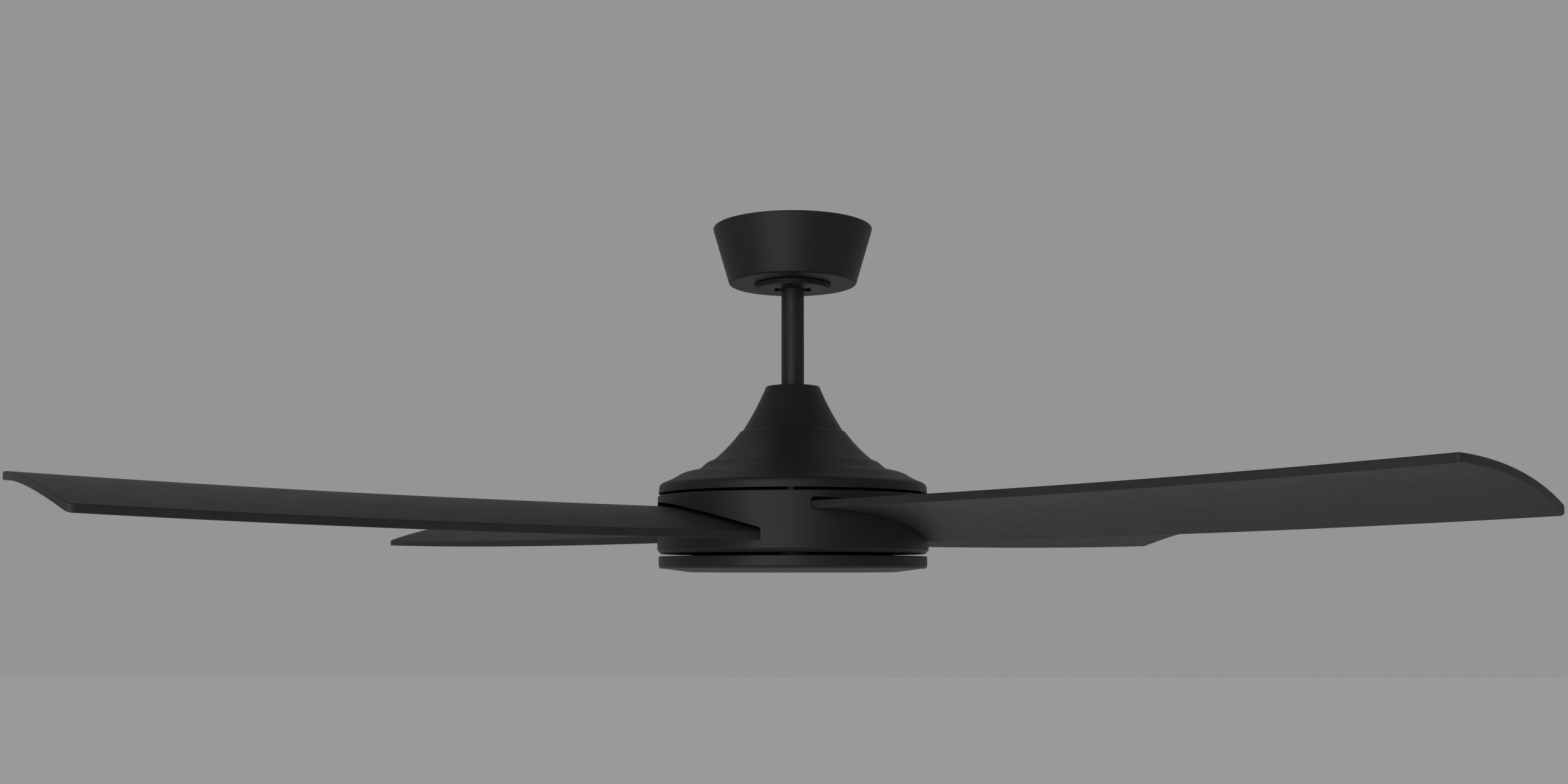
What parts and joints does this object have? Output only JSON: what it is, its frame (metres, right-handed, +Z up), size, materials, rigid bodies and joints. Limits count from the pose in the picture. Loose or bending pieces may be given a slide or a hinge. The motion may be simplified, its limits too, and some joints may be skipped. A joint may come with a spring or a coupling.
{
  "type": "ceiling fan with light",
  "caption": "Ceiling fan on a short downrod: truncated canopy, stepped cone cover, turning drum whose slots the pitched blades pass through, slim light with a dished lens.",
  "frame": {"origin": "centre of the hanger bracket's flat top face, in the ceiling plane, on the fan's vertical axis", "axes": "+Z up along the fan's axis, away from the blades and into the ceiling; -Y towards the front, where a viewer stands"},
  "size_m": [1.0746, 1.0746, 0.325],
  "materials": {
    "black_paint": "satin black powder coat on pressed and spun steel",
    "blade_black": "satin black moulded ABS, faintly mottled",
    "lens_smoke": "smoke-grey satin light cover, unlit",
    "zinc_steel": "zinc-plated pressed steel",
    "steel": "ground or stamped bare steel",
    "cast_aluminium": "die-cast, lightly pebbled",
    "copper": "enamelled copper wire, wound and tied",
    "ferrite": "sintered ferrite, dull dark grey",
    "brass": "turned brass",
    "nylon_white": "natural moulded nylon",
    "nylon_black": "black glass-filled nylon",
    "circuit_white": "white solder mask on an aluminium board"
  },
  "bodies": {
    "ceiling_side": {"hanger_bracket": "zinc_steel", "canopy": "black_paint", "canopy_screw_left": "zinc_steel", "canopy_screw_right": "zinc_steel", "escutcheon": "black_paint", "receiver_module": "nylon_black", "terminal_block": "nylon_white"},
    "ball": {"hanger_ball": "nylon_black", "cross_pin": "steel"},
    "hanging_side": {"downrod": "black_paint", "rod_coupling": "zinc_steel", "coupling_pin": "steel", "pin_clip": "steel", "set_screw_front": "steel", "set_screw_back": "steel", "cone_cover": "black_paint", "cover_bracket": "zinc_steel", "cover_screw_1": "zinc_steel", "cover_screw_2": "zinc_steel", "cover_screw_3": "zinc_steel", "motor_shaft": "steel", "stator_core": "steel", "winding_upper": "copper", "winding_lower": "copper", "upper_inner_race": "steel", "lower_inner_race": "steel", "light_spacer": "cast_aluminium", "light_housing": "black_paint", "shaft_nut": "brass", "led_board": "circuit_white", "led_driver": "nylon_white"},
    "light_cover": {"lens": "lens_smoke"},
    "rotor": {"rotor_top": "cast_aluminium", "rotor_bottom": "cast_aluminium", "magnet_ring": "ferrite", "upper_outer_race": "steel", "lower_outer_race": "steel", "drum": "black_paint", "rotor_screw_1": "zinc_steel", "rotor_screw_2": "zinc_steel", "rotor_screw_3": "zinc_steel", "blade_1": "blade_black", "blade_2": "blade_black", "blade_3": "blade_black", "blade_4": "blade_black", "blade_iron_1": "cast_aluminium", "blade_iron_2": "cast_aluminium", "blade_iron_3": "cast_aluminium", "blade_iron_4": "cast_aluminium", "blade_bolt_1_1": "zinc_steel", "blade_bolt_1_2": "zinc_steel", "blade_bolt_2_1": "zinc_steel", "blade_bolt_2_2": "zinc_steel", "blade_bolt_3_1": "zinc_steel", "blade_bolt_3_2": "zinc_steel", "blade_bolt_4_1": "zinc_steel", "blade_bolt_4_2": "zinc_steel"},
    "upper_balls": {"upper_caged_balls": "steel"},
    "lower_balls": {"lower_caged_balls": "steel"}
  },
  "joints": [
    {"name": "ball_swing", "type": "hinge", "parent": "ceiling_side", "child": "ball", "pos_m": [0, 0, -0.026], "axis": [1, 0, 0], "range_deg": [-0.5, 0.5]},
    {"name": "rod_swing", "type": "hinge", "parent": "ball", "child": "hanging_side", "pos_m": [0, 0, -0.026], "axis": [0, 1, 0], "range_deg": [-0.5, 0.5]},
    {"name": "rotor_spin", "type": "hinge", "parent": "hanging_side", "child": "rotor", "pos_m": [0, 0, -0.28], "axis": [0, 0, -1], "continuous": true},
    {"name": "upper_balls_spin", "type": "hinge", "parent": "hanging_side", "child": "upper_balls", "pos_m": [0, 0, -0.2645], "axis": [0, 0, -1], "continuous": true},
    {"name": "lower_balls_spin", "type": "hinge", "parent": "hanging_side", "child": "lower_balls", "pos_m": [0, 0, -0.2924], "axis": [0, 0, -1], "continuous": true},
    {"name": "light_cover_twist", "type": "hinge", "parent": "hanging_side", "child": "light_cover", "pos_m": [0, 0, -0.3161], "axis": [0, 0, -1], "range_deg": [0, 18]}
  ],
  "couplings": [
    {"joint": "upper_balls_spin", "follows": "rotor_spin", "ratio": 0.567},
    {"joint": "lower_balls_spin", "follows": "rotor_spin", "ratio": 0.567}
  ]
}
